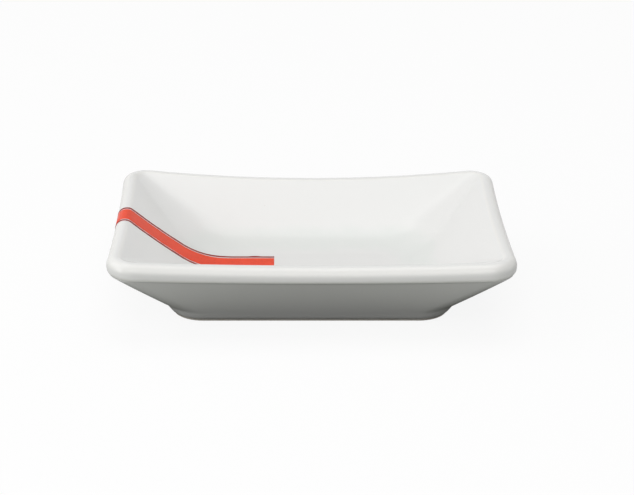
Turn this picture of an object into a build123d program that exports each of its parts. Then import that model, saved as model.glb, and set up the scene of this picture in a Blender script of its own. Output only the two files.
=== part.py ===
from build123d import *
from dataclasses import dataclass
import math
import os

# Soy sauce dish: one piece of white porcelain with a swept-up rim, glazed all over but for its
# standing edge, with an enamel stripe between two fine lines over one short side.
# Millimetres, +Z up, +X along the length, origin on the table under the middle of the foot.
# All sizes of the form are measured over the glaze, as the finished dish is. Length and width run
# between the points where the bowed sides would meet, before the corners are rounded.

# Rim, with its depth from the top of its corners down to the crease under it
length = 100.5
width = 70.2
corner_height = 21.8
long_dip = 2.0
short_dip = 0.4
long_bow = 2.0
short_bow = 0.7
rim_corner_radius = 6.5
rim_width = 3.6
rim_outer_radius = 2.1
rim_inner_radius = 3.0
rim_depth = 4.8

# Outer wall, from the crease under the rim down to the foot
crease_height = corner_height - rim_depth
crease_dip = 1.6
crease_radius = 1.8
wall_run = 12.9

# Foot ring and the recess inside it
foot_height = 2.85
foot_short_bow = 0.3
foot_corner_radius = 10.5
foot_taper = 2.1
foot_edge_radius = 0.6
foot_ring_width = 3.0
recess_depth = 2.2
recess_draft = 0.5
recess_cove_radius = 1.2

# Well
floor_height = 7.2
well_run = 18.2
valley_corner_radius = 8.0
floor_corner_radius = 5.5
floor_cove_radius = 20.0

# Glaze and enamel
glaze_thickness = 0.25
bare_edge_height = 0.8
enamel_thickness = 0.1
stripe_width = 6.6
stripe_gap = 0.5
line_width = 0.7
stripe_reach = 41.0
stripe_outer_drop = 3.2

# One overrun for every cutter
overrun = 1.5

# Roundings are made of bands that stay this close to the true arc: fine over the glaze, and coarser
# on the clay under it
glaze_chord_gap = 0.047
clay_chord_gap = 0.165

# A side with less bow than this share of the length is a straight line, and a corner's radius
# stays under this share of its outline's reach
straight_share = 1e-4
corner_limit_share = 0.95

half_length = length / 2
half_width = width / 2
well_angle = math.atan2(corner_height - floor_height, well_run)


@dataclass
class Corner:
    # A corner of the dish's section: how far outside the rim it lies, its height and its rounding,
    # and the level outline there: its bows, its corner radius, the growth of that radius outwards,
    # and how far its long and short sides dip
    out: float
    up: float
    rounding: float
    bow_x: float
    bow_y: float
    radius: float
    radius_growth: float = 1
    dip_x: float = 0
    dip_y: float = 0
    on_table: bool = False


rim_outside = Corner(
    out=0,
    up=corner_height,
    rounding=rim_outer_radius,
    bow_x=long_bow,
    bow_y=short_bow,
    radius=rim_corner_radius,
    dip_x=long_dip,
    dip_y=short_dip,
)
rim_inside = Corner(
    out=-rim_width,
    up=corner_height,
    rounding=rim_inner_radius,
    bow_x=long_bow,
    bow_y=short_bow,
    radius=rim_corner_radius - rim_width,
    dip_x=long_dip,
    dip_y=short_dip,
)
crease = Corner(
    out=0,
    up=crease_height,
    rounding=crease_radius,
    bow_x=long_bow,
    bow_y=short_bow,
    radius=rim_corner_radius,
    dip_x=crease_dip,
)
foot_top = Corner(
    out=-wall_run,
    up=foot_height,
    rounding=0,
    bow_x=0,
    bow_y=foot_short_bow,
    radius=foot_corner_radius,
)
foot_outer_edge = Corner(
    out=-wall_run - foot_taper,
    up=0,
    rounding=foot_edge_radius,
    bow_x=0,
    bow_y=foot_short_bow,
    radius=foot_corner_radius - foot_taper,
    on_table=True,
)
foot_inner_edge = Corner(
    out=foot_outer_edge.out - foot_ring_width,
    up=0,
    rounding=foot_edge_radius,
    bow_x=0,
    bow_y=foot_short_bow,
    radius=foot_outer_edge.radius - foot_ring_width,
    on_table=True,
)
recess_edge = Corner(
    out=foot_inner_edge.out - recess_draft,
    up=recess_depth,
    rounding=recess_cove_radius,
    bow_x=0,
    bow_y=foot_short_bow,
    radius=foot_inner_edge.radius - recess_draft,
)
floor_edge = Corner(
    out=-rim_width - well_run,
    up=floor_height,
    rounding=floor_cove_radius,
    bow_x=0,
    bow_y=0,
    radius=valley_corner_radius,
    radius_growth=(valley_corner_radius - floor_corner_radius)
    / (floor_cove_radius * math.tan(well_angle / 2)),
)


def side(start, middle, end):
    # A side of an outline: an arc, or a line where it has no bow
    chord_middle = (Vector(start) + Vector(end)) * 0.5
    if (Vector(middle) - chord_middle).length < straight_share * length:
        return Line(start, end)
    return ThreePointArc(start, middle, end)


def level_outline(reach_x, reach_y, bow_x, bow_y, corner_radius):
    # A rectangle with bowed sides and rounded corners
    corners = [(reach_x, reach_y), (-reach_x, reach_y), (-reach_x, -reach_y), (reach_x, -reach_y)]
    sides = [
        side(corners[0], (0, reach_y - bow_x), corners[1]),
        side(corners[1], (bow_y - reach_x, 0), corners[2]),
        side(corners[2], (0, bow_x - reach_y), corners[3]),
        side(corners[3], (reach_x - bow_y, 0), corners[0]),
    ]
    face = make_face(sides)
    return fillet(face.vertices(), min(corner_radius, corner_limit_share * min(reach_x, reach_y)))


def ring(corner, out, up, radius):
    # The outline at one place of the section, lifted so that its sides dip as the corner's do
    def lifted(point):
        sink_x = corner.dip_x * (1 - (point.X / half_length) ** 2)
        sink_y = corner.dip_y * (1 - (point.Y / half_width) ** 2)
        return Vector(point.X, point.Y, up - sink_x - sink_y)

    flat = level_outline(half_length + out, half_width + out, corner.bow_x, corner.bow_y, radius)
    edges = [side(lifted(edge @ 0), lifted(edge @ 0.5), lifted(edge @ 1)) for edge in flat.wire().edges()]
    return Wire(edges)


def rings_round(before, corner, after, skin, chord_gap):
    # The rings along the arc that rounds a corner of the section, moved along its normal by a skin.
    # The section runs with the air on its right, from under the foot over the rim and into the well.
    first = math.atan2(corner.up - before[1], corner.out - before[0])
    last = math.atan2(after[1] - corner.up, after[0] - corner.out)
    turn = (last - first + math.pi) % (2 * math.pi) - math.pi
    if corner.rounding:
        widest = 2 * math.acos(max(0, 1 - chord_gap / corner.rounding))
        steps = math.ceil(abs(turn) / widest)
        headings = [first + turn * step / steps for step in range(steps + 1)]
    else:
        headings = [first + turn / 2]
    tangent = corner.rounding * math.tan(abs(turn) / 2)
    bulge = math.copysign(corner.rounding, turn)
    rings = []
    for heading in headings:
        out = corner.out - tangent * math.cos(first) + bulge * (math.sin(heading) - math.sin(first))
        up = corner.up - tangent * math.sin(first) + bulge * (math.cos(first) - math.cos(heading))
        sideways = skin * math.sin(heading)
        upwards = 0 if corner.on_table else -skin * math.cos(heading)
        radius = corner.radius + (out - corner.out) * corner.radius_growth
        rings.append(ring(corner, out + sideways, up + upwards, radius + sideways))
    return rings


def rings_along(start, corners, end, skin, chord_gap):
    # The rings of a whole run of the section, from one point past its ends to another
    points = [start] + [(corner.out, corner.up) for corner in corners] + [end]
    rings = []
    for index, corner in enumerate(corners):
        rings += rings_round(points[index], corner, points[index + 2], skin, chord_gap)
    return rings


def outside_and_well(skin, chord_gap):
    # The dish without its recess: one run of rings up the outside, over the rim and down into the well
    start = (foot_inner_edge.out, 0)
    end = (floor_edge.out - floor_cove_radius, floor_height)
    corners = [foot_outer_edge, foot_top, crease, rim_outside, rim_inside, floor_edge]
    return Solid.make_loft(rings_along(start, corners, end, skin, chord_gap), ruled=True)


def recess(skin, chord_gap):
    # The shallow hollow under the dish, inside the foot ring
    start = (recess_edge.out - recess_cove_radius, recess_depth)
    end = (foot_outer_edge.out, 0)
    rings = rings_along(start, [recess_edge, foot_inner_edge], end, skin, chord_gap)
    below = Pos(0, 0, -overrun) * rings[-1]
    return Solid.make_loft(rings + [below], ruled=True)


def dish(skin, chord_gap):
    # The whole dish with its surface moved out by a skin, or in where the skin is negative
    return outside_and_well(skin, chord_gap) - recess(skin, chord_gap)


def glaze(body):
    # Glaze of even thickness over the body, wiped back from the standing edge: outer coat, then recess
    below = Box(
        length + overrun,
        width + overrun,
        bare_edge_height + overrun,
        align=(Align.CENTER, Align.CENTER, Align.MAX),
    )
    coats = dish(0, glaze_chord_gap) - body - Pos(0, 0, bare_edge_height) * below
    return coats.solids().sort_by(SortBy.VOLUME, reverse=True)


def stripe_zone(near, far):
    # The space round the striped end of the dish between two upright planes along its length
    outside = -half_length - overrun
    inside_rim = -half_length + rim_width / 2
    end = -half_length + stripe_reach
    outer_end = corner_height - stripe_outer_drop
    lid = corner_height + overrun
    profile = Polyline(
        (outside, outer_end),
        (inside_rim, outer_end),
        (inside_rim + well_run, floor_height / 2),
        (end, floor_height / 2),
        (end, lid),
        (outside, lid),
        close=True,
    )
    plane = Plane(origin=(0, far, 0), x_dir=(1, 0, 0), z_dir=(0, -1, 0))
    return extrude(plane * make_face(profile), far - near)


def enamel():
    # Fired enamel over the glaze: a broad stripe with a fine line along each side
    line_near = stripe_width / 2 + stripe_gap
    line_far = line_near + line_width
    zones = {
        "red_stripe": (-stripe_width / 2, stripe_width / 2),
        "back_line": (line_near, line_far),
        "front_line": (-line_far, -line_near),
    }
    proud = dish(enamel_thickness, glaze_chord_gap)
    glazed = dish(0, glaze_chord_gap)
    return {name: (proud & stripe_zone(near, far)) - glazed for name, (near, far) in zones.items()}


body = dish(-glaze_thickness, clay_chord_gap)
coat, recess_coat = glaze(body)
parts = {
    "porcelain_body": body,
    "glaze_coat": coat,
    "foot_recess_glaze": recess_coat,
}
parts.update(enamel())
os.makedirs("parts", exist_ok=True)
for name, shape in parts.items():
    export_step(shape, f"parts/{name}.step")
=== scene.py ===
import math
from collections import namedtuple

import bmesh
import bpy
from bpy.props import FloatProperty, FloatVectorProperty, PointerProperty
from mathutils import Matrix, Vector


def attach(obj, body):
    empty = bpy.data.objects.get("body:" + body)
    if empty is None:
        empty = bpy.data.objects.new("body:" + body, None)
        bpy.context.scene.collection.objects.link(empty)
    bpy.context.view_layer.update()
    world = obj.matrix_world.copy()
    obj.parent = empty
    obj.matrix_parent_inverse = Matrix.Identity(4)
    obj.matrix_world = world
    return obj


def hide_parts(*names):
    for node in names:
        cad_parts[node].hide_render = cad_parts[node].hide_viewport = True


bl_info = {
    "name": "Soy sauce dish",
    "version": (1, 0, 0),
    "blender": (4, 5, 0),
    "location": "3D View > Sidebar > Dish",
    "description": "Glazed porcelain soy sauce dish with a red enamel stripe, and its studio",
    "category": "Object",
}

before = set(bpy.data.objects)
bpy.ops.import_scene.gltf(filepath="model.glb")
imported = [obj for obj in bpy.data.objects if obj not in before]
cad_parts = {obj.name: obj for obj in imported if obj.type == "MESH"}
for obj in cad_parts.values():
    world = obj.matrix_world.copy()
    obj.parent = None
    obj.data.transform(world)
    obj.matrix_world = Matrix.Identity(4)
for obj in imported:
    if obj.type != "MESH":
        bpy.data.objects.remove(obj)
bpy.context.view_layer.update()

BODY = "root"

# Camera: the width of the photo in pixels, that of the film in millimetres, and the nearest distance
# that is seen
IMAGE_WIDTH = 634
SENSOR_WIDTH = 36
NEAREST = 0.01

# Lamps: where the soft boxes and the two low cards stand, and how wide they are
TOP_PLACE = (0, 0.05, 1.2)
FRONT_PLACE = (0, -1.0, 0.75)
LEFT_PLACE = (-1.0, 0, 0.75)
LEFT_CARD_PLACE = (-0.55, -0.3, 0.16)
RIGHT_CARD_PLACE = (0.6, -0.1, 0.16)
BOX_SIZE = 0.9
CARD_SIZE = 0.3

# Ground: its size, and the distances from the dish's middle between which its painted shadow round the foot
# fades to plain, in an oblong for which lengths along the dish count less
GROUND_RADIUS = 3.0
GROUND_SIDES = 96
SHADE_REACH = (0.022, 0.043)
SHADE_SQUEEZE = 0.55

# How finely the surfaces are divided: the widest turn between the rings of a rounding, the longest
# step between other rings in metres, the steps of half a short side, of a corner and of half a long
# side, and the steps across an enamel strip
BAND = math.radians(6)
LONGEST_STEP = 0.0012
SHORT_STEPS = 12
CORNER_STEPS = 12
LONG_STEPS = 18
STRIP_STEPS = 8

# A new grid is one unit wide, and goes this far both ways
GRID_REACH = 0.5

# The border of a flat end face, and the gaps and bows that count as none
FLAT_BORDER = 0.0002
MERGE_GAP = 1e-7
FLATTEST_BOW = 1e-6

# Which way a piece's largest face looks
UP = 1
DOWN = -1

# The turns, in degrees, of the steps by which the enamel's edges round down
EDGE_TURNS = (0, 22.5, 45, 67.5, 90)

# The same for the glaze's lower end, and how far that rolls in, as a share of its thickness
ROLL_TURNS = (0, 30, 60)
ROLL_DEPTH = 0.8

# The attribute that says how thick the glaze lies, and the values of it at which the colour of thick
# and of thin glaze sets in and is full
DEPTH = "glaze_depth"
THICK_RANGE = (0.1, 1.0)
THIN_RANGE = (-0.2, -1.0)

# Noise patterns, with their scale in waves per metre
Pattern = namedtuple("Pattern", "scale detail roughness")
WAVES = Pattern(70.0, 2.0, 0.5)
PEEL = Pattern(900.0, 2.0, 0.5)
MOTTLE = Pattern(160.0, 3.0, 0.55)
CLAY_GRAIN = Pattern(2600.0, 3.0, 0.6)
CLAY_STAIN = Pattern(120.0, 3.0, 0.6)
ENAMEL_GRAIN = Pattern(2200.0, 3.0, 0.65)
NOISE_MIDDLE = 0.5

# Specks in the glaze: cells per metre, the share of cells that hold one, and the distances from a
# cell's middle, in cells, where a speck starts to fade and is gone
SPECK_SCALE = 170.0
SPECK_SHARE = 0.012
SPECK_FADE = (0.01, 0.03)

# Fired surfaces: heights of waves and peel in metres, roughness, and how far that varies
GLAZE_SURFACE = {
    "Wave Height": 0.00003,
    "Peel Height": 0.0000006,
    "Roughness": 0.22,
    "Roughness Spread": 0.06,
}
ENAMEL_SURFACE = {
    "Wave Height": 0.00002,
    "Peel Height": 0.000002,
    "Roughness": 0.2,
    "Roughness Spread": 0.1,
}

# Bare clay: where its stains and pale grains set in and are full, how strong they get, the height of
# the grain in metres, and the range of its roughness
STAIN_RANGE = (0.5, 0.75)
STAIN_SHARE = 0.6
PALE_RANGE = (0.45, 0.7)
PALE_SHARE = 0.5
CLAY_RELIEF = 0.00004
CLAY_GRAIN_RANGE = (0.3, 0.7)
CLAY_ROUGHNESS = (0.6, 0.8)

# Enamel: where its dark grains and light patches set in and are full, how strong they get, their
# colours as shares of the pigment's, and its gloss
PIGMENT_RANGE = (0.45, 0.7)
DARK_SHARE = 0.6
DARK_LEVEL = 0.75
LIGHT_SHARE = 0.5
LIGHT_LEVEL = 1.1
LIGHT_LIFT = 0.002
ENAMEL_GLOSS = 0.05

WHITE = (1, 1, 1)

# The colour sockets of a Mix node, which has others for plain numbers and vectors
COLOUR_LOW = 6
COLOUR_HIGH = 7
COLOUR_RESULT = 2


def length_property(name, description, default):
    """A length in metres"""
    return FloatProperty(name=name, description=description, default=default, unit="LENGTH", precision=5)


def number_property(name, description, default):
    """A plain number, such as a lamp's power in watts or an angle in degrees"""
    return FloatProperty(name=name, description=description, default=default)


def colour_property(name, description, default):
    """A colour, as three linear channels"""
    return FloatVectorProperty(
        name=name, description=description, default=default, subtype="COLOR", size=3, min=0, max=1
    )


class DishSizes(bpy.types.PropertyGroup):
    """Sizes of the dish, over the glaze"""

    length: length_property("Length", "Between the points where the bowed short sides would meet", 0.1005)
    width: length_property("Width", "Between the points where the bowed long sides would meet", 0.0702)
    corner_height: length_property("Corner height", "Height of the rim at its corners", 0.02155)
    long_dip: length_property("Long dip", "How far the rim dips along the long sides", 0.00205)
    short_dip: length_property("Short dip", "How far the rim dips along the short sides", 0.0003)
    long_bow: length_property("Long bow", "How far the long sides bend in", 0.0022)
    short_bow: length_property("Short bow", "How far the short sides bend in", 0.00066)
    rim_corner: length_property("Rim corner", "Radius of the rim's corners seen from above", 0.007)
    rim_width: length_property("Rim width", "Width of the rim", 0.0034)
    rim_outer: length_property("Rim outside", "Rounding of the rim's outer edge", 0.0026)
    rim_inner: length_property("Rim inside", "Rounding of the rim's inner edge", 0.0021)
    lip_height: length_property("Lip height", "Height of the rim's lower edge", 0.01755)
    lip_rounding: length_property("Lip rounding", "Rounding of the rim's lower edge", 0.0014)
    lip_run: length_property("Lip run", "How far the rim stands out over the wall", 0.0009)
    lip_drop: length_property("Lip drop", "How far the crease lies under the rim's edge", 0.0006)
    lip_dip: length_property("Lip dip", "How far the lip dips along the long sides", 0.0017)
    crease_rounding: length_property("Crease rounding", "Rounding of the crease under the rim", 0.0003)
    crease_corner: length_property("Crease corner", "Radius of the crease's corners", 0.0055)
    wall_run: length_property("Wall run", "How far the wall goes in from the rim to the foot", 0.01295)
    foot_height: length_property("Foot height", "Height of the foot ring", 0.00305)
    foot_bow: length_property("Foot bow", "How far the foot's short sides bend in", 0.00025)
    foot_corner: length_property("Foot corner", "Radius of the foot's corners", 0.01)
    foot_taper: length_property("Foot taper", "How far the foot narrows to the ground", 0.0023)
    foot_cove: length_property("Foot cove", "Rounding where the foot meets the wall", 0.01)
    foot_edge: length_property("Foot edge", "Rounding of the standing edge", 0.0004)
    foot_ring: length_property("Foot ring", "Width of the foot ring", 0.003)
    recess_depth: length_property("Recess depth", "Depth of the hollow under the dish", 0.0022)
    recess_draft: length_property("Recess draft", "How far the recess narrows towards its top", 0.0005)
    recess_cove: length_property("Recess cove", "Rounding of the recess", 0.0012)
    floor_height: length_property("Floor height", "Height of the well's floor", 0.0073)
    well_run: length_property("Well run", "How far the well's walls slope in", 0.0183)
    valley_corner: length_property("Valley corner", "Radius of the well's corners above its floor", 0.008)
    floor_corner: length_property("Floor corner", "Radius of the floor's corners", 0.0055)
    floor_cove: length_property("Floor cove", "Rounding between the well's walls and floor", 0.0207)
    glaze: length_property("Glaze", "Thickness of the glaze", 0.00025)
    bare_edge: length_property("Bare edge", "Height up to which the foot is left bare", 0.0008)
    enamel: length_property("Enamel", "Thickness of the enamel", 0.0001)
    enamel_edge: length_property("Enamel edge", "Width over which the enamel rounds down", 0.00012)
    stripe_width: length_property("Stripe width", "Width of the red stripe", 0.0066)
    stripe_gap: length_property("Stripe gap", "White gap between the stripe and its lines", 0.0005)
    line_width: length_property("Line width", "Width of the fine lines", 0.0007)
    stripe_reach: length_property("Stripe reach", "How far the stripe goes in from the rim", 0.041)
    stripe_drop: length_property("Stripe drop", "How far the stripe goes down outside", 0.0032)
    clearance: length_property("Clearance", "How far the surface lies inside the solid's", 0.00003)


class DishFinishes(bpy.types.PropertyGroup):
    """Colours of the dish"""

    glaze_colour: colour_property("Glaze", "Colour of the glazed porcelain", (0.83, 0.83, 0.815))
    thick_colour: colour_property("Thick glaze", "Colour where the glaze lies thick", (0.79, 0.81, 0.785))
    thin_colour: colour_property("Thin glaze", "Colour where the glaze runs thin", (0.85, 0.845, 0.82))
    speck_colour: colour_property("Specks", "Colour of the few specks in the glaze", (0.62, 0.58, 0.52))
    clay_colour: colour_property("Bare clay", "Colour of the unglazed standing edge", (0.68, 0.64, 0.57))
    stain_colour: colour_property("Stained clay", "Colour where the edge is rubbed", (0.55, 0.49, 0.41))
    stripe_colour: colour_property("Stripe", "Colour of the broad enamel stripe", (0.9, 0.076, 0.028))
    line_colour: colour_property("Lines", "Colour of the fine enamel lines", (0.33, 0.015, 0.01))


class DishStage(bpy.types.PropertyGroup):
    """Camera and light"""

    azimuth: number_property("Azimuth", "Camera's turn in degrees", -1.394)
    elevation: number_property("Elevation", "Camera's height in degrees", 22.548)
    roll: number_property("Roll", "Camera's roll in degrees", 0.577)
    distance: length_property("Distance", "Camera's distance from its target", 0.483229)
    target_x: length_property("Target X", "Camera's target along the dish", 0.001814)
    target_z: length_property("Target height", "Height of the camera's target", 0.011718)
    focal_pixels: number_property("Focal length", "In pixels of the photo", 1870.3)
    top_power: number_property("Top", "Power of the soft box overhead", 3.8)
    front_power: number_property("Front", "Power of the soft box in front", 4.3)
    left_power: number_property("Left", "Power of the soft box on the left", 3.0)
    left_card_power: number_property("Left card", "Power of the low card on the left", 0.85)
    right_card_power: number_property("Right card", "Power of the low card on the right", 0.15)
    room_level: number_property("Room", "Brightness of the white room", 0.355)
    ground_colour: colour_property("Ground", "How the ground lights the dish", (0.245, 0.254, 0.232))
    # Painted shadow: close round the foot the ground is painted this dark in the light it throws onto the
    # dish
    painted_shadow_colour: colour_property("Near ground", "The same close round the foot", (0.02, 0.021, 0.018))
    # Painted shadow: close round the foot the glaze mirrors ground painted this dark instead of white
    mirrored_painted_shadow_colour: colour_property("Mirrored ground", "How the glaze mirrors that", (0.08, 0.085, 0.07))
    shadow_share: number_property("Shadow", "How much of the shadow is seen", 0.12)


# The dish's section


class Corner:
    """A corner of the section, with the level outline there"""

    def __init__(self, out, up, rounding, outline, dips=(0, 0), growth=1, on_table=False):
        self.out = out
        self.up = up
        self.rounding = rounding
        self.bow_x, self.bow_y, self.radius = outline
        self.dip_x, self.dip_y = dips
        self.growth = growth
        self.on_table = on_table


# A level ring of the dish: how far outside the rim it lies, its height, its corner radius, the bows
# and dips of its sides, and how thick the glaze lies there, from -1 to 1
Ring = namedtuple("Ring", "out up radius bow_x bow_y dip_x dip_y depth")


def corners(sizes):
    """The section's corners by name"""
    top = sizes.corner_height
    rim_dips = (sizes.long_dip, sizes.short_dip)
    outer_outline = (sizes.long_bow, sizes.short_bow, sizes.rim_corner)
    inner_outline = (sizes.long_bow, sizes.short_bow, sizes.rim_corner - sizes.rim_width)

    lip_dips = (sizes.lip_dip, 0)
    crease_up = sizes.lip_height - sizes.lip_drop
    crease_outline = (sizes.long_bow, sizes.short_bow, sizes.crease_corner)

    foot_out = -sizes.wall_run - sizes.foot_taper
    ring_out = foot_out - sizes.foot_ring
    recess_out = ring_out - sizes.recess_draft
    ring_inset = sizes.foot_taper + sizes.foot_ring
    recess_inset = ring_inset + sizes.recess_draft

    floor_out = -sizes.rim_width - sizes.well_run
    floor_outline = (0, 0, sizes.valley_corner)
    well_angle = math.atan2(top - sizes.floor_height, sizes.well_run)
    growth = (sizes.valley_corner - sizes.floor_corner) / (sizes.floor_cove * math.tan(well_angle / 2))

    def foot_outline(inset):
        return (0, sizes.foot_bow, sizes.foot_corner - inset)

    return {
        "rim_outside": Corner(0, top, sizes.rim_outer, outer_outline, rim_dips),
        "rim_inside": Corner(-sizes.rim_width, top, sizes.rim_inner, inner_outline, rim_dips),
        "lip": Corner(0, sizes.lip_height, sizes.lip_rounding, outer_outline, lip_dips),
        "crease": Corner(-sizes.lip_run, crease_up, sizes.crease_rounding, crease_outline, lip_dips),
        "foot_top": Corner(-sizes.wall_run, sizes.foot_height, sizes.foot_cove, foot_outline(0)),
        "foot_outside": Corner(foot_out, 0, sizes.foot_edge, foot_outline(sizes.foot_taper), on_table=True),
        "foot_inside": Corner(ring_out, 0, sizes.foot_edge, foot_outline(ring_inset), on_table=True),
        "recess": Corner(recess_out, sizes.recess_depth, sizes.recess_cove, foot_outline(recess_inset)),
        "floor": Corner(floor_out, sizes.floor_height, sizes.floor_cove, floor_outline, growth=growth),
    }


def run_of(by_name, names):
    """The corners of a run of the section, from their names in a row"""
    return [by_name[name] for name in names.split()]


def arc_rings(before, corner, after, skin):
    """Level rings along the arc that rounds one corner, moved along the section's normal by a skin"""
    first = math.atan2(corner.up - before[1], corner.out - before[0])
    last = math.atan2(after[1] - corner.up, after[0] - corner.out)
    turn = (last - first + math.pi) % (2 * math.pi) - math.pi
    tangent = corner.rounding * math.tan(abs(turn) / 2)
    bulge = math.copysign(corner.rounding, turn)
    steps = math.ceil(abs(turn) / BAND)
    rings = []
    for step in range(steps + 1):
        heading = first + turn * step / steps
        out = corner.out - tangent * math.cos(first) + bulge * (math.sin(heading) - math.sin(first))
        up = corner.up - tangent * math.sin(first) + bulge * (math.cos(first) - math.cos(heading))
        sideways = skin * math.sin(heading)
        upwards = 0 if corner.on_table else -skin * math.cos(heading)
        rings.append(
            Ring(
                out=out + sideways,
                up=up + upwards,
                radius=corner.radius + (out - corner.out) * corner.growth + sideways,
                bow_x=corner.bow_x,
                bow_y=corner.bow_y,
                dip_x=corner.dip_x,
                dip_y=corner.dip_y,
                depth=-math.copysign(math.sin(math.pi * step / steps), turn),
            )
        )
    return rings


def between(first, last, share):
    """The ring part of the way from one ring to another"""
    return Ring(*(a + (b - a) * share for a, b in zip(first, last)))


def filled(first, last, gap):
    """Rings at even steps between two rings, for a gap of this length"""
    steps = max(1, math.ceil(gap / LONGEST_STEP))
    return [between(first, last, step / steps) for step in range(1, steps)]


def section(start, chain, end, skin):
    """All level rings of a run of the section, with steps between its roundings"""
    points = [start] + [(corner.out, corner.up) for corner in chain] + [end]
    rings = []
    for index, corner in enumerate(chain):
        arc = arc_rings(points[index], corner, points[index + 2], skin)
        if rings:
            gap = math.dist(points[index], points[index + 1])
            rings += filled(rings[-1], arc[0], gap)
        rings += arc
    return rings


def side_arc(reach, half_chord, bow):
    """Radius of a bowed side, and how far its centre is from the middle of the dish"""
    bow = max(bow, FLATTEST_BOW)
    radius = (half_chord**2 + bow**2) / (2 * bow)
    return radius, reach - bow + radius


def quarter(reach_x, reach_y, bow_x, bow_y, corner_radius):
    """A quarter of a level outline, from the middle of a short side to the middle of a long one"""
    long_radius, long_centre = side_arc(reach_y, reach_x, bow_x)
    short_radius, short_centre = side_arc(reach_x, reach_y, bow_y)
    # The corner's circle touches both sides from inside
    gap = math.hypot(short_centre, long_centre)
    reach_long = long_radius + corner_radius
    reach_short = short_radius + corner_radius
    along = (reach_long**2 - reach_short**2 + gap**2) / (2 * gap)
    off = math.sqrt(reach_long**2 - along**2)
    centre_x = (short_centre * along - long_centre * off) / gap
    centre_y = long_centre - (long_centre * along + short_centre * off) / gap
    long_share = long_radius / reach_long
    long_end = (centre_x * long_share, long_centre + (centre_y - long_centre) * long_share)
    short_share = short_radius / reach_short
    short_end = (short_centre + (centre_x - short_centre) * short_share, centre_y * short_share)
    points = []
    for step in range(SHORT_STEPS):
        y = short_end[1] * step / SHORT_STEPS
        points.append((short_centre - math.sqrt(short_radius**2 - y**2), y))
    first = math.atan2(short_end[1] - centre_y, short_end[0] - centre_x)
    last = math.atan2(long_end[1] - centre_y, long_end[0] - centre_x)
    for step in range(CORNER_STEPS):
        angle = first + (last - first) * step / CORNER_STEPS
        points.append(
            (centre_x + corner_radius * math.cos(angle), centre_y + corner_radius * math.sin(angle))
        )
    for step in range(LONG_STEPS + 1):
        x = long_end[0] * (1 - step / LONG_STEPS)
        points.append((x, long_centre - math.sqrt(long_radius**2 - x**2)))
    return points


def lowered(sizes, ring, x, y):
    """A place of a ring, under its corners by as much as its sides dip there"""
    dip = ring.dip_x * (1 - (2 * x / sizes.length) ** 2) + ring.dip_y * (1 - (2 * y / sizes.width) ** 2)
    return Vector((x, y, ring.up - dip))


def ring_points(sizes, ring):
    """All points of one ring, once round from the right"""
    reach_x = sizes.length / 2 + ring.out
    reach_y = sizes.width / 2 + ring.out
    part = quarter(reach_x, reach_y, ring.bow_x, ring.bow_y, ring.radius)
    flat = part[:-1]
    flat += [(-x, y) for x, y in reversed(part[1:])]
    flat += [(-x, -y) for x, y in part[:-1]]
    flat += [(x, -y) for x, y in reversed(part[1:])]
    return [lowered(sizes, ring, x, y) for x, y in flat]


def loft(bm, sizes, rings):
    """Extrudes the first ring from one ring to the next; returns the edges of the first and the last"""
    depth = bm.verts.layers.float.new(DEPTH)
    verts = [bm.verts.new(point) for point in ring_points(sizes, rings[0])]
    edges = [bm.edges.new(pair) for pair in zip(verts, verts[1:] + verts[:1])]
    first_edges = edges
    for vert in verts:
        vert[depth] = rings[0].depth
    for ring in rings[1:]:
        grown = bmesh.ops.extrude_edge_only(bm, edges=edges)["geom"]
        verts = [item for item in grown if isinstance(item, bmesh.types.BMVert)]
        for vert, point in zip(verts, ring_points(sizes, ring)):
            vert.co = point
            vert[depth] = ring.depth
        fresh = set(verts)
        edges = [
            item
            for item in grown
            if isinstance(item, bmesh.types.BMEdge) and all(vert in fresh for vert in item.verts)
        ]
    return first_edges, edges


def close_flat(bm, edges):
    """Closes a level ring with a face that has a narrow border, so that its shading stays flat"""
    face = bmesh.ops.edgeloop_fill(bm, edges=edges)["faces"]
    bmesh.ops.inset_region(bm, faces=face, thickness=FLAT_BORDER, use_even_offset=True)


def add_object(name, data):
    """Puts a mesh, a lamp or a camera into the scene"""
    item = bpy.data.objects.new(name, data)
    bpy.context.scene.collection.objects.link(item)
    return item


def mesh_object(bm, name):
    """Turns a bmesh into an object of the scene, and frees it"""
    mesh = bpy.data.meshes.new(name)
    bm.to_mesh(mesh)
    bm.free()
    return add_object(name, mesh)


def finish_mesh(bm, name, material, node, facing=UP):
    """Turns a bmesh into a piece that stands for a CAD node; its largest face looks up or down"""
    bmesh.ops.remove_doubles(bm, verts=bm.verts, dist=MERGE_GAP)
    bmesh.ops.recalc_face_normals(bm, faces=bm.faces)
    largest = max(bm.faces, key=lambda face: face.calc_area())
    if largest.normal.z * facing < 0:
        bmesh.ops.reverse_faces(bm, faces=bm.faces)
    for face in bm.faces:
        face.smooth = True
    piece = mesh_object(bm, name)
    piece.data.materials.append(material)
    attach(piece, BODY)
    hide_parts(node)
    return piece


# Finishes


def add_node(tree, kind, **settings):
    """A new node of this kind with its settings"""
    node = tree.nodes.new(kind)
    for name, value in settings.items():
        setattr(node, name, value)
    return node


def feed(tree, value, socket):
    """Links a socket to an input, or sets the input to a plain value"""
    if isinstance(value, bpy.types.NodeSocket):
        tree.links.new(value, socket)
    else:
        socket.default_value = value


def noise(tree, vector, pattern):
    """A noise pattern's value, from 0 to 1"""
    node = add_node(tree, "ShaderNodeTexNoise")
    feed(tree, vector, node.inputs["Vector"])
    feed(tree, pattern.scale, node.inputs["Scale"])
    feed(tree, pattern.detail, node.inputs["Detail"])
    feed(tree, pattern.roughness, node.inputs["Roughness"])
    return node.outputs["Fac"]


def blend(tree, mask, low, high):
    """Goes from one colour to another as the mask goes from 0 to 1"""
    node = add_node(tree, "ShaderNodeMix", data_type="RGBA")
    feed(tree, mask, node.inputs["Factor"])
    for value, socket in ((low, node.inputs[COLOUR_LOW]), (high, node.inputs[COLOUR_HIGH])):
        feed(tree, value if isinstance(value, bpy.types.NodeSocket) else (*value, 1), socket)
    return node.outputs[COLOUR_RESULT]


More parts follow.
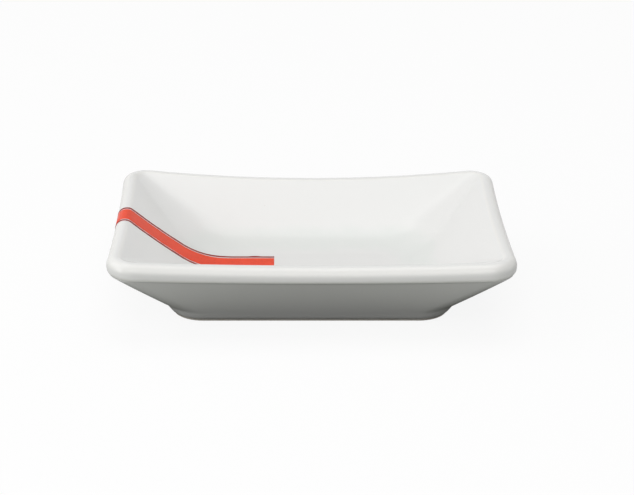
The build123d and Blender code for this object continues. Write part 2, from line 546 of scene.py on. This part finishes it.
def scaled(tree, value, low, high, to_low=0.0, to_high=1.0):
    """Maps a value smoothly from one range to another"""
    node = add_node(tree, "ShaderNodeMapRange", interpolation_type="SMOOTHSTEP")
    feed(tree, value, node.inputs["Value"])
    for name, number in zip(("From Min", "From Max", "To Min", "To Max"), (low, high, to_low, to_high)):
        feed(tree, number, node.inputs[name])
    return node.outputs["Result"]


def calculate(tree, operation, first, second):
    """One step of arithmetic on two values"""
    node = add_node(tree, "ShaderNodeMath", operation=operation)
    feed(tree, first, node.inputs[0])
    feed(tree, second, node.inputs[1])
    return node.outputs[0]


def fired_surface_group():
    """Node group for fired, glassy surfaces: slow waves, fine peel, mottling and a few specks"""
    name = "fired_surface"
    if name in bpy.data.node_groups:
        return bpy.data.node_groups[name]
    group = bpy.data.node_groups.new(name, "ShaderNodeTree")
    group.interface.new_socket("Vector", in_out="INPUT", socket_type="NodeSocketVector")
    for socket in GLAZE_SURFACE:
        group.interface.new_socket(socket, in_out="INPUT", socket_type="NodeSocketFloat")
    for socket in ("Height", "Roughness", "Mottle", "Specks"):
        group.interface.new_socket(socket, in_out="OUTPUT", socket_type="NodeSocketFloat")
    ins = group.nodes.new("NodeGroupInput").outputs
    outs = group.nodes.new("NodeGroupOutput").inputs
    waves = noise(group, ins["Vector"], WAVES)
    peel = noise(group, ins["Vector"], PEEL)
    mottle = noise(group, ins["Vector"], MOTTLE)
    dots = add_node(group, "ShaderNodeTexVoronoi")
    feed(group, ins["Vector"], dots.inputs["Vector"])
    feed(group, SPECK_SCALE, dots.inputs["Scale"])
    near_middle = scaled(group, dots.outputs["Distance"], *SPECK_FADE, to_low=1.0, to_high=0.0)
    draw = add_node(group, "ShaderNodeSeparateColor")
    feed(group, dots.outputs["Color"], draw.inputs["Color"])
    drawn = calculate(group, "GREATER_THAN", draw.outputs["Red"], 1 - SPECK_SHARE)
    high_waves = calculate(group, "MULTIPLY", waves, ins["Wave Height"])
    high_peel = calculate(group, "MULTIPLY", peel, ins["Peel Height"])
    drift = calculate(group, "SUBTRACT", mottle, NOISE_MIDDLE)
    swing = calculate(group, "MULTIPLY", drift, ins["Roughness Spread"])
    feed(group, calculate(group, "ADD", high_waves, high_peel), outs["Height"])
    feed(group, calculate(group, "ADD", ins["Roughness"], swing), outs["Roughness"])
    feed(group, mottle, outs["Mottle"])
    feed(group, calculate(group, "MULTIPLY", near_middle, drawn), outs["Specks"])
    return group


def fired_surface(tree, place, values):
    """Puts the fired surface group into a material, with this finish's own values"""
    node = add_node(tree, "ShaderNodeGroup", node_tree=fired_surface_group())
    feed(tree, place, node.inputs["Vector"])
    for name, value in values.items():
        feed(tree, value, node.inputs[name])
    return node.outputs


def new_finish(name):
    """A material with its tree, its shader and the place on the object that its patterns read"""
    material = bpy.data.materials.new(name)
    material.use_nodes = True
    tree = material.node_tree
    place = add_node(tree, "ShaderNodeTexCoord").outputs["Object"]
    return material, tree, tree.nodes["Principled BSDF"], place


def wire(tree, shader, colour, roughness, height):
    """Feeds a finish's colour, roughness and relief into its shader"""
    relief = add_node(tree, "ShaderNodeBump")
    feed(tree, 1.0, relief.inputs["Distance"])
    feed(tree, height, relief.inputs["Height"])
    feed(tree, colour, shader.inputs["Base Color"])
    feed(tree, roughness, shader.inputs["Roughness"])
    feed(tree, relief.outputs["Normal"], shader.inputs["Normal"])


def glaze_finish(finishes):
    """White glaze: glossy, a little wavy, greyer in the angles and creamier over the edges"""
    material, tree, shader, place = new_finish("white_glaze")
    surface = fired_surface(tree, place, GLAZE_SURFACE)
    depth = add_node(tree, "ShaderNodeAttribute", attribute_name=DEPTH).outputs["Fac"]
    drift = calculate(tree, "SUBTRACT", surface["Mottle"], NOISE_MIDDLE)
    uneven = calculate(tree, "ADD", depth, drift)
    colour = blend(tree, scaled(tree, uneven, *THICK_RANGE), finishes.glaze_colour, finishes.thick_colour)
    colour = blend(tree, scaled(tree, uneven, *THIN_RANGE), colour, finishes.thin_colour)
    colour = blend(tree, surface["Specks"], colour, finishes.speck_colour)
    wire(tree, shader, colour, surface["Roughness"], surface["Height"])
    return material


def clay_finish(finishes):
    """Bare fired clay: dry, sandy and a little rubbed"""
    material, tree, shader, place = new_finish("biscuit_porcelain")
    grain = noise(tree, place, CLAY_GRAIN)
    stained = scaled(tree, noise(tree, place, CLAY_STAIN), *STAIN_RANGE, to_high=STAIN_SHARE)
    pale = scaled(tree, grain, *PALE_RANGE, to_high=PALE_SHARE)
    colour = blend(tree, stained, finishes.clay_colour, finishes.stain_colour)
    colour = blend(tree, pale, colour, finishes.thin_colour)
    roughness = scaled(tree, grain, *CLAY_GRAIN_RANGE, *CLAY_ROUGHNESS)
    wire(tree, shader, colour, roughness, calculate(tree, "MULTIPLY", grain, CLAY_RELIEF))
    return material


def enamel_finish(name, colour):
    """Fired enamel: glossy pigment, darker in grains and lighter where it went on thinner"""
    material, tree, shader, place = new_finish(name)
    surface = fired_surface(tree, place, ENAMEL_SURFACE)
    grain = noise(tree, place, ENAMEL_GRAIN)
    dark = [channel * DARK_LEVEL for channel in colour]
    light = [min(1.0, channel * LIGHT_LEVEL + LIGHT_LIFT) for channel in colour]
    mixed = blend(tree, scaled(tree, grain, *PIGMENT_RANGE, to_high=DARK_SHARE), colour, dark)
    mixed = blend(tree, scaled(tree, surface["Mottle"], *PIGMENT_RANGE, to_high=LIGHT_SHARE), mixed, light)
    wire(tree, shader, mixed, surface["Roughness"], surface["Height"])
    shader.inputs["Specular IOR Level"].default_value = ENAMEL_GLOSS
    return material


# Pieces


def build_body(sizes, material):
    """The clay under the glaze, from the recess round the foot and the rim down to the floor"""
    by_name = corners(sizes)
    names = "recess foot_inside foot_outside foot_top crease lip rim_outside rim_inside floor"
    start = (by_name["recess"].out - sizes.recess_cove, sizes.recess_depth)
    end = (by_name["floor"].out - sizes.floor_cove, sizes.floor_height)
    rings = section(start, run_of(by_name, names), end, -sizes.clearance - sizes.glaze)
    bm = bmesh.new()
    for edges in loft(bm, sizes, rings):
        close_flat(bm, edges)
    finish_mesh(bm, "clay_body", material, "porcelain_body")


def rolled_end(sizes, ring, slope):
    """Rings that roll the glaze in towards the clay at its lower end, from the end up"""
    ends = []
    depth = sizes.glaze * ROLL_DEPTH
    for degrees in ROLL_TURNS:
        turn = math.radians(degrees)
        sink = depth * (1 - math.sin(turn))
        up = sizes.bare_edge + depth * (1 - math.cos(turn))
        shift = (up - ring.up) * slope - sink * math.copysign(1, slope)
        ends.append(ring._replace(up=up, out=ring.out + shift, radius=ring.radius + shift))
    return ends


def build_coat(sizes, material):
    """The glaze over the outside, the rim and the well"""
    by_name = corners(sizes)
    names = "foot_outside foot_top crease lip rim_outside rim_inside floor"
    start = (by_name["foot_inside"].out, 0)
    end = (by_name["floor"].out - sizes.floor_cove, sizes.floor_height)
    rings = section(start, run_of(by_name, names), end, -sizes.clearance)
    kept = [ring for ring in rings if ring.up > sizes.bare_edge + sizes.glaze]
    slope = sizes.foot_taper / sizes.foot_height
    bm = bmesh.new()
    edges = loft(bm, sizes, rolled_end(sizes, kept[0], slope) + kept)
    close_flat(bm, edges[1])
    piece = finish_mesh(bm, "glaze_outside_and_well", material, "glaze_coat")
    give_thickness(piece, sizes.glaze)


def build_recess(sizes, material):
    """The glaze in the hollow of the foot"""
    by_name = corners(sizes)
    start = (by_name["recess"].out - sizes.recess_cove, sizes.recess_depth)
    end = (by_name["foot_outside"].out, 0)
    rings = section(start, run_of(by_name, "recess foot_inside"), end, -sizes.clearance)
    kept = [ring for ring in rings if ring.up > sizes.bare_edge + sizes.glaze]
    slope = -sizes.recess_draft / sizes.recess_depth
    bm = bmesh.new()
    edges = loft(bm, sizes, kept + rolled_end(sizes, kept[-1], slope)[::-1])
    close_flat(bm, edges[0])
    piece = finish_mesh(bm, "glaze_in_foot", material, "foot_recess_glaze", DOWN)
    give_thickness(piece, sizes.glaze)


def give_thickness(piece, thickness):
    """Makes a piece's surface a wall, with its thickness inwards"""
    shell = piece.modifiers.new("thickness", "SOLIDIFY")
    shell.thickness = thickness
    shell.offset = -1


def strip_rings(sizes, skin):
    """The level rings that the enamel crosses, from its end outside the rim to its end on the floor"""
    by_name = corners(sizes)
    names = "crease lip rim_outside rim_inside floor"
    start = (by_name["foot_top"].out, by_name["foot_top"].up)
    end = (by_name["floor"].out - sizes.floor_cove, sizes.floor_height)
    rings = section(start, run_of(by_name, names), end, skin)
    last = rings[-1]
    tip = last._replace(out=-sizes.stripe_reach, radius=last.radius - sizes.stripe_reach - last.out)
    rings += filled(last, tip, abs(tip.out - last.out)) + [tip]
    foot = by_name["rim_outside"].up - sizes.stripe_drop
    above = next(index for index, ring in enumerate(rings) if ring.up > foot)
    below = rings[above - 1]
    share = (foot - below.up) / (rings[above].up - below.up)
    return [between(below, rings[above], share)] + rings[above:]


def strip_place(sizes, ring, y):
    """The point of a ring on the striped short side, at a distance from the dish's middle plane"""
    radius, centre = side_arc(sizes.length / 2 + ring.out, sizes.width / 2 + ring.out, ring.bow_y)
    return lowered(sizes, ring, math.sqrt(radius**2 - y**2) - centre, y)


def rounded_down(values, edge):
    """Adds close steps at both ends of a run of places; returns the places and their share of height"""
    low, high = values[0], values[-1]
    steps = [math.radians(turn) for turn in EDGE_TURNS]
    near = [(low + edge * (1 - math.cos(turn)), math.sin(turn)) for turn in steps]
    far = [(high - edge * (1 - math.cos(turn)), math.sin(turn)) for turn in reversed(steps)]
    middle = [(value, 1) for value in values[1:-1]]
    return near + middle + far


def build_strip(sizes, name, near, far, material, node):
    """An enamel strip over the striped end: a grid laid on the glaze, with its edges rounded down"""
    on_glaze = strip_rings(sizes, -sizes.clearance)
    on_top = strip_rings(sizes, sizes.enamel - sizes.clearance)
    widths = [near + (far - near) * step / STRIP_STEPS for step in range(STRIP_STEPS + 1)]
    across = rounded_down(widths, sizes.enamel_edge)
    along = rounded_down(range(len(on_glaze)), sizes.enamel_edge / LONGEST_STEP)
    bm = bmesh.new()
    bmesh.ops.create_grid(bm, x_segments=len(along) - 1, y_segments=len(across) - 1, size=GRID_REACH)
    for vert in bm.verts:
        place, end_height = along[round((vert.co.x + GRID_REACH) * (len(along) - 1))]
        y, side_height = across[round((vert.co.y + GRID_REACH) * (len(across) - 1))]
        index = min(int(place), len(on_glaze) - 2)
        low = strip_place(sizes, between(on_glaze[index], on_glaze[index + 1], place - index), y)
        high = strip_place(sizes, between(on_top[index], on_top[index + 1], place - index), y)
        vert.co = low.lerp(high, min(end_height, side_height))
    piece = finish_mesh(bm, name, material, node)
    give_thickness(piece, sizes.enamel)


# Steps


class DISH_OT_clay_body(bpy.types.Operator):
    """Build the fired clay body"""

    bl_idname = "dish.clay_body"
    bl_label = "Clay body"

    def execute(self, context):
        scene = context.scene
        build_body(scene.dish_sizes, clay_finish(scene.dish_finishes))
        return {"FINISHED"}


class DISH_OT_glaze(bpy.types.Operator):
    """Build the glaze outside, in the well and in the foot"""

    bl_idname = "dish.glaze"
    bl_label = "Glaze"

    def execute(self, context):
        scene = context.scene
        material = glaze_finish(scene.dish_finishes)
        build_coat(scene.dish_sizes, material)
        build_recess(scene.dish_sizes, material)
        return {"FINISHED"}


class DISH_OT_stripe(bpy.types.Operator):
    """Build the enamel stripe and its two lines"""

    bl_idname = "dish.stripe"
    bl_label = "Stripe"

    def execute(self, context):
        sizes = context.scene.dish_sizes
        finishes = context.scene.dish_finishes
        edge = sizes.stripe_width / 2
        near = edge + sizes.stripe_gap
        far = near + sizes.line_width
        red = enamel_finish("red_enamel", finishes.stripe_colour)
        dark = enamel_finish("dark_red_enamel", finishes.line_colour)
        build_strip(sizes, "broad_stripe", -edge, edge, red, "red_stripe")
        build_strip(sizes, "fine_line_behind", near, far, dark, "back_line")
        build_strip(sizes, "fine_line_before", -far, -near, dark, "front_line")
        return {"FINISHED"}


class DISH_OT_stage(bpy.types.Operator):
    """Set up the ground, the light and the camera"""

    bl_idname = "dish.stage"
    bl_label = "Stage"

    def execute(self, context):
        stage = context.scene.dish_stage
        build_ground(stage)
        build_room(stage)
        build_lamps(stage)
        build_camera(stage)
        context.scene.view_settings.view_transform = "Standard"
        return {"FINISHED"}


# Stage


def background_rays(tree):
    """Two masks for rays that show the background: straight ones, and mirrored or bent ones"""
    path = add_node(tree, "ShaderNodeLightPath").outputs
    mirrored = calculate(tree, "MAXIMUM", path["Is Glossy Ray"], path["Is Transmission Ray"])
    return path["Is Camera Ray"], mirrored


def build_ground(stage):
    """A wide floor that is white to the eye but for the dish's soft shadow; round the foot it has a painted
    shadow in the light it bounces and in its reflection in the glaze
    """
    bm = bmesh.new()
    bmesh.ops.create_circle(bm, cap_ends=True, segments=GROUND_SIDES, radius=GROUND_RADIUS)
    ground = mesh_object(bm, "ground")
    material = bpy.data.materials.new("ground")
    material.use_nodes = True
    tree = material.node_tree
    tree.nodes.clear()
    straight, mirrored = background_rays(tree)
    place = add_node(tree, "ShaderNodeTexCoord").outputs["Object"]
    oblong = add_node(tree, "ShaderNodeVectorMath", operation="MULTIPLY")
    feed(tree, place, oblong.inputs[0])
    feed(tree, (SHADE_SQUEEZE, 1, 1), oblong.inputs[1])
    distance = add_node(tree, "ShaderNodeVectorMath", operation="LENGTH")
    feed(tree, oblong.outputs[0], distance.inputs[0])
    # Painted shadow round the foot: near the dish the ground is painted darker in the light it bounces onto
    # the dish, fading out over SHADE_REACH
    outside_painted_shadow = scaled(tree, distance.outputs["Value"], *SHADE_REACH)
    unseen = blend(tree, outside_painted_shadow, stage.painted_shadow_colour, stage.ground_colour)
    # Painted shadow in the glaze's reflection: near the dish the mirrored ground is painted dark, further
    # off it is white
    mirror = blend(tree, outside_painted_shadow, stage.mirrored_painted_shadow_colour, WHITE)
    colour = blend(tree, mirrored, unseen, mirror)
    paint = add_node(tree, "ShaderNodeBsdfDiffuse")
    feed(tree, blend(tree, straight, colour, WHITE), paint.inputs["Color"])
    white = add_node(tree, "ShaderNodeEmission")
    mix = add_node(tree, "ShaderNodeMixShader")
    out = add_node(tree, "ShaderNodeOutputMaterial")
    feed(tree, calculate(tree, "MULTIPLY", straight, 1 - stage.shadow_share), mix.inputs[0])
    feed(tree, paint.outputs[0], mix.inputs[1])
    feed(tree, white.outputs[0], mix.inputs[2])
    feed(tree, mix.outputs[0], out.inputs["Surface"])
    ground.data.materials.append(material)


def build_room(stage):
    """The white room round the dish"""
    world = bpy.data.worlds.new("room")
    bpy.context.scene.world = world
    world.use_nodes = True
    tree = world.node_tree
    walls = tree.nodes["Background"]
    walls.inputs["Color"].default_value = (*WHITE, 1)
    seen = calculate(tree, "MAXIMUM", *background_rays(tree))
    feed(tree, scaled(tree, seen, 0.0, 1.0, stage.room_level, 1.0), walls.inputs["Strength"])


def add_lamp(name, place, size, power):
    """A square lamp that looks at the dish"""
    lamp = bpy.data.lights.new(name, "AREA")
    lamp.size = size
    lamp.energy = power
    turn = (-Vector(place)).to_track_quat("-Z", "Y").to_matrix().to_4x4()
    add_object(name, lamp).matrix_world = Matrix.Translation(place) @ turn


def build_lamps(stage):
    """Three soft boxes, with a low card on each side"""
    add_lamp("top_box", TOP_PLACE, BOX_SIZE, stage.top_power)
    add_lamp("front_box", FRONT_PLACE, BOX_SIZE, stage.front_power)
    add_lamp("left_box", LEFT_PLACE, BOX_SIZE, stage.left_power)
    add_lamp("left_card", LEFT_CARD_PLACE, CARD_SIZE, stage.left_card_power)
    add_lamp("right_card", RIGHT_CARD_PLACE, CARD_SIZE, stage.right_card_power)


def build_camera(stage):
    """The camera, aimed at the dish from in front and above"""
    turn = math.radians(stage.azimuth)
    lift = math.radians(stage.elevation)
    roll = math.radians(stage.roll)
    back = Vector((math.sin(turn) * math.cos(lift), -math.cos(turn) * math.cos(lift), math.sin(lift)))
    right = Vector((0, 0, 1)).cross(back).normalized()
    up = back.cross(right)
    tilted_right = right * math.cos(roll) + up * math.sin(roll)
    tilted_up = up * math.cos(roll) - right * math.sin(roll)
    place = Vector((stage.target_x, 0, stage.target_z)) + back * stage.distance
    camera = bpy.data.cameras.new("camera")
    camera.sensor_width = SENSOR_WIDTH
    camera.lens = stage.focal_pixels / IMAGE_WIDTH * SENSOR_WIDTH
    camera.clip_start = NEAREST
    holder = add_object("camera", camera)
    turned = Matrix((tilted_right, tilted_up, back)).transposed().to_4x4()
    holder.matrix_world = Matrix.Translation(place) @ turned
    bpy.context.scene.camera = holder


# Panel and registration


class DISH_PT_panel(bpy.types.Panel):
    """Sizes, colours and steps of the dish"""

    bl_idname = "DISH_PT_panel"
    bl_label = "Soy sauce dish"
    bl_space_type = "VIEW_3D"
    bl_region_type = "UI"
    bl_category = "Dish"

    def draw(self, context):
        layout = self.layout
        scene = context.scene
        for group in (scene.dish_sizes, scene.dish_finishes, scene.dish_stage):
            box = layout.box()
            for name in group.bl_rna.properties.keys():
                if name not in ("rna_type", "name"):
                    box.prop(group, name)
        for step in STEPS:
            layout.operator(step.bl_idname)


STEPS = (DISH_OT_clay_body, DISH_OT_glaze, DISH_OT_stripe, DISH_OT_stage)
CLASSES = (DishSizes, DishFinishes, DishStage, *STEPS, DISH_PT_panel)


def register():
    for cls in CLASSES:
        bpy.utils.register_class(cls)
    bpy.types.Scene.dish_sizes = PointerProperty(type=DishSizes)
    bpy.types.Scene.dish_finishes = PointerProperty(type=DishFinishes)
    bpy.types.Scene.dish_stage = PointerProperty(type=DishStage)


def unregister():
    del bpy.types.Scene.dish_sizes
    del bpy.types.Scene.dish_finishes
    del bpy.types.Scene.dish_stage
    for cls in reversed(CLASSES):
        bpy.utils.unregister_class(cls)


def main():
    register()
    bpy.ops.dish.clay_body()
    bpy.ops.dish.glaze()
    bpy.ops.dish.stripe()
    bpy.ops.dish.stage()
    bpy.context.view_layer.update()


if __name__ == "__main__":
    main()
